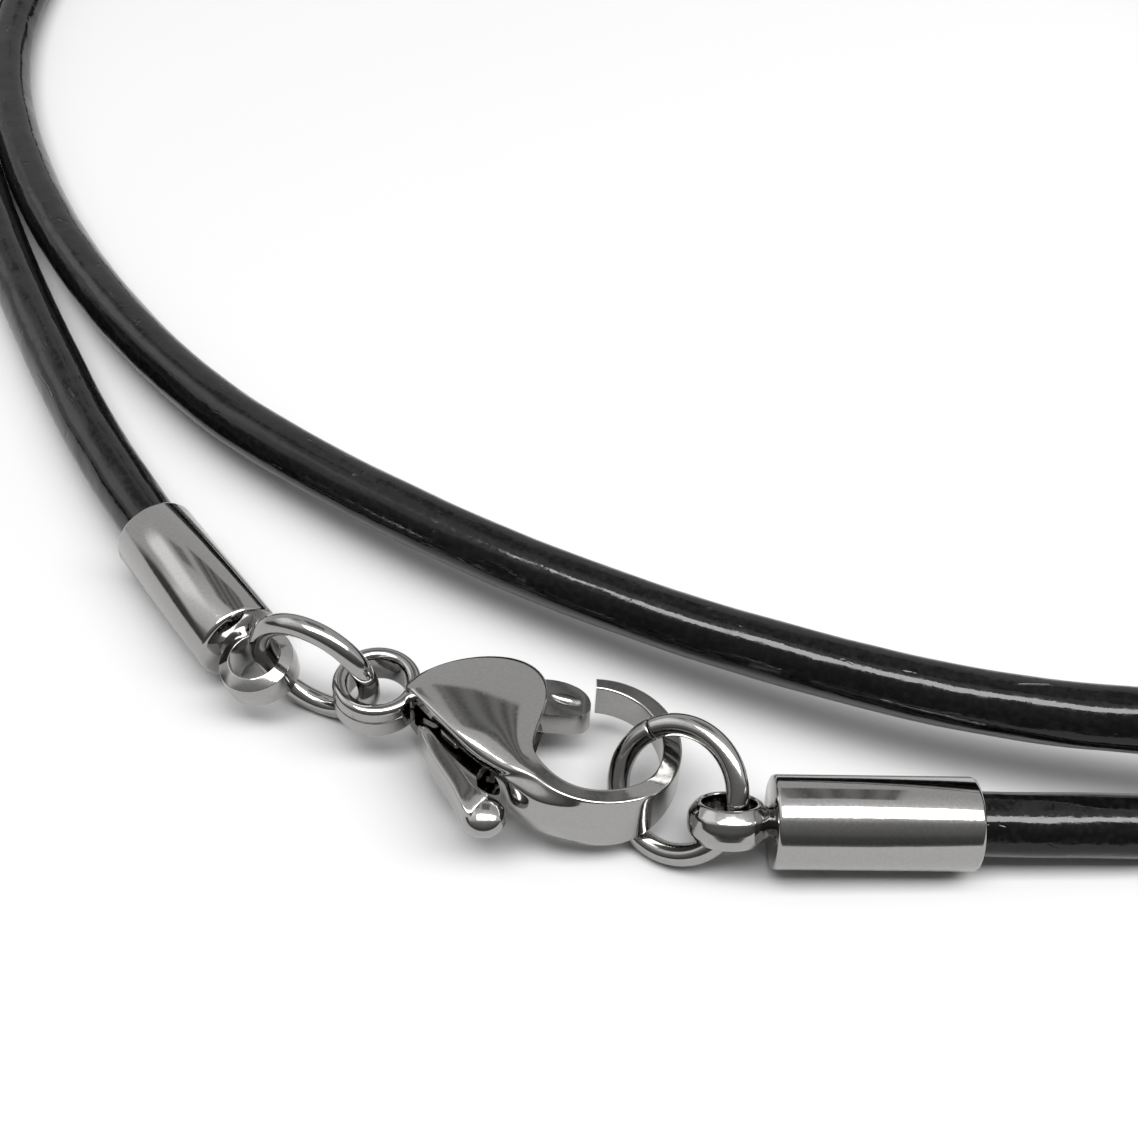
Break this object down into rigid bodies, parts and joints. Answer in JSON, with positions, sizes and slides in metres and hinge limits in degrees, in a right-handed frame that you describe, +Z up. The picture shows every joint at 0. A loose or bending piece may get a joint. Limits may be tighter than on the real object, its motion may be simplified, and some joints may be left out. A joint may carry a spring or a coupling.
{
  "type": "leather cord necklace",
  "caption": "Round leather cord necklace with tubular end caps, jump rings and a lobster clasp with a sprung lever, laid in turns on a table.",
  "frame": {"origin": "on the table, under the middle of the box round the clasp, rings and end caps", "axes": "+X along the front from the left end cap to the right one, +Y away from the front across the neck loop, +Z up from the table"},
  "size_m": [0.1103, 0.1021, 0.009],
  "materials": {
    "leather": "smooth black leather, waxed to a gloss, with fine cracks",
    "polished_steel": "mirror polished stainless steel",
    "pin_steel": "plain drawn pin"
  },
  "bodies": {
    "necklace": {"leather_cord": "leather", "cord_end_left": "polished_steel", "cord_end_right": "polished_steel", "jump_ring_left": "polished_steel", "jump_ring_right": "polished_steel", "clasp_body": "polished_steel", "clasp_pivot": "pin_steel"},
    "lever": {"clasp_lever": "polished_steel"}
  },
  "joints": [
    {"name": "lever_hinge", "type": "hinge", "parent": "necklace", "child": "lever", "pos_m": [-0.00142, -0.00309, 0.00281], "axis": [0.0424, 0.0647, 0.997], "range_deg": [-22, 0], "stiffness_Nm_per_rad": 0.001, "springref_deg": 11.46}
  ]
}
